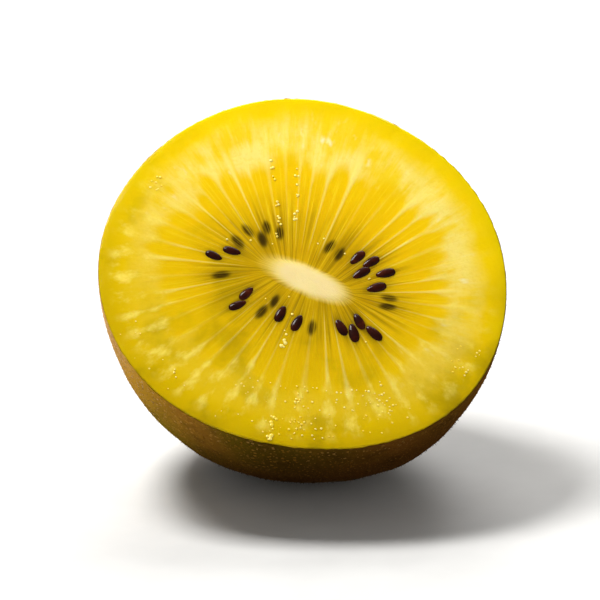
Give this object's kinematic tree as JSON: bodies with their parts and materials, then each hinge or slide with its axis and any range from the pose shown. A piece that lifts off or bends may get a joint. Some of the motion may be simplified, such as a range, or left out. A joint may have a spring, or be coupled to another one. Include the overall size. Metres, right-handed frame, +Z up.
{
  "type": "golden kiwi fruit half",
  "caption": "Half of a golden kiwi fruit, cut across, with a gold face, pale core, dark seeds, thin brown skin and a dried calyx at the stem end.",
  "frame": {"origin": "centre of the small flat spot on the skin that the half rests on", "axes": "+Z up; -Y towards the side that the cut face leans to; +X to the right of someone who faces the cut"},
  "size_m": [0.0517, 0.048, 0.0461],
  "materials": {
    "flesh": "wet, slightly translucent gold flesh round a cream core",
    "seed": "wet black-brown seed coat",
    "skin": "thin olive-brown skin with tan dots and a fine down",
    "calyx": "dry, dull, papery brown",
    "juice": "clear drops of juice"
  },
  "bodies": {
    "root": {"fruit_half": "flesh", "dried_calyx": "calyx"}
  },
  "joints": []
}
